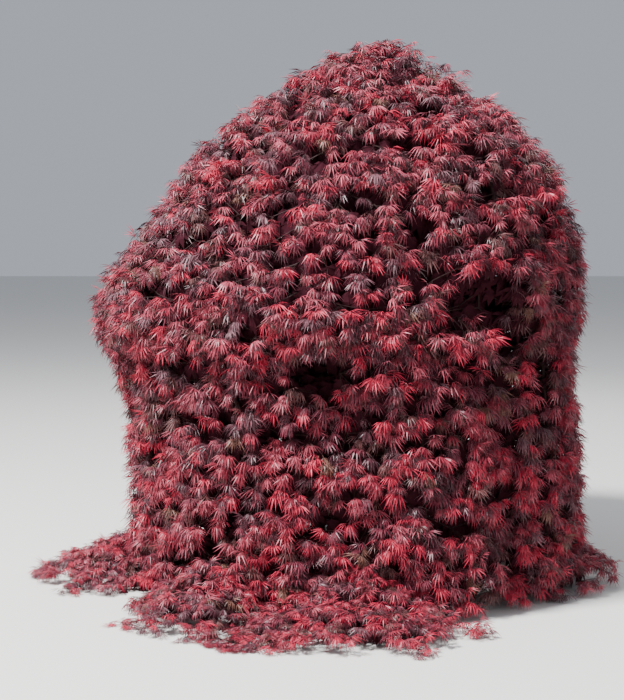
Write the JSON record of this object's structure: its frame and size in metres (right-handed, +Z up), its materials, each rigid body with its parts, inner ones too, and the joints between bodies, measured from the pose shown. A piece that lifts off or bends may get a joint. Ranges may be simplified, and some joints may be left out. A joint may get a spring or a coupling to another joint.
{
  "type": "weeping laceleaf japanese maple tree",
  "caption": "Low weeping maple rooted in the ground: short flared trunk, arching boughs, domed tiers of hanging red-purple cut leaves and skirts that trail on the ground.",
  "frame": {"origin": "centre of the flat cut under the trunk, at ground level", "axes": "+Z up along the trunk; the front seen in the picture faces -Y; +X to its right"},
  "size_m": [2.5555, 2.5172, 2.3602],
  "materials": {
    "bark": "matte",
    "burgundy_leaves": "satin",
    "wine_leaves": "satin",
    "crimson_leaves": "satin",
    "bronze_leaves": "satin"
  },
  "bodies": {
    "root": {"trunk": "bark", "leader": "bark", "upper_bough_1": "bark", "upper_bough_2": "bark", "upper_bough_3": "bark", "upper_bough_4": "bark", "upper_bough_5": "bark", "upper_bough_6": "bark", "middle_bough_1": "bark", "middle_bough_2": "bark", "middle_bough_3": "bark", "middle_bough_4": "bark", "middle_bough_5": "bark", "middle_bough_6": "bark", "middle_bough_7": "bark", "middle_bough_8": "bark", "lower_bough_1": "bark", "lower_bough_2": "bark", "lower_bough_3": "bark", "lower_bough_4": "bark", "lower_bough_5": "bark", "lower_bough_6": "bark", "lower_bough_7": "bark", "lower_bough_8": "bark", "skirt_bough_left": "bark", "skirt_bough_front_left": "bark", "skirt_bough_front": "bark", "skirt_bough_right": "bark", "skirt_bough_back_right": "bark", "skirt_bough_back_left": "bark", "top_foliage": "burgundy_leaves", "upper_foliage_1": "wine_leaves", "upper_foliage_2": "crimson_leaves", "upper_foliage_3": "bronze_leaves", "upper_foliage_4": "burgundy_leaves", "upper_foliage_5": "wine_leaves", "upper_foliage_6": "crimson_leaves", "middle_foliage_1": "bronze_leaves", "middle_foliage_2": "burgundy_leaves", "middle_foliage_3": "wine_leaves", "middle_foliage_4": "crimson_leaves", "middle_foliage_5": "bronze_leaves", "middle_foliage_6": "burgundy_leaves", "middle_foliage_7": "wine_leaves", "middle_foliage_8": "crimson_leaves", "lower_foliage_1": "bronze_leaves", "lower_foliage_2": "burgundy_leaves", "lower_foliage_3": "wine_leaves", "lower_foliage_4": "crimson_leaves", "lower_foliage_5": "bronze_leaves", "lower_foliage_6": "burgundy_leaves", "lower_foliage_7": "wine_leaves", "lower_foliage_8": "crimson_leaves", "skirt_left": "bronze_leaves", "skirt_front_left": "burgundy_leaves", "skirt_front": "wine_leaves", "skirt_right": "crimson_leaves", "skirt_back_right": "bronze_leaves", "skirt_back_left": "burgundy_leaves"}
  },
  "joints": []
}
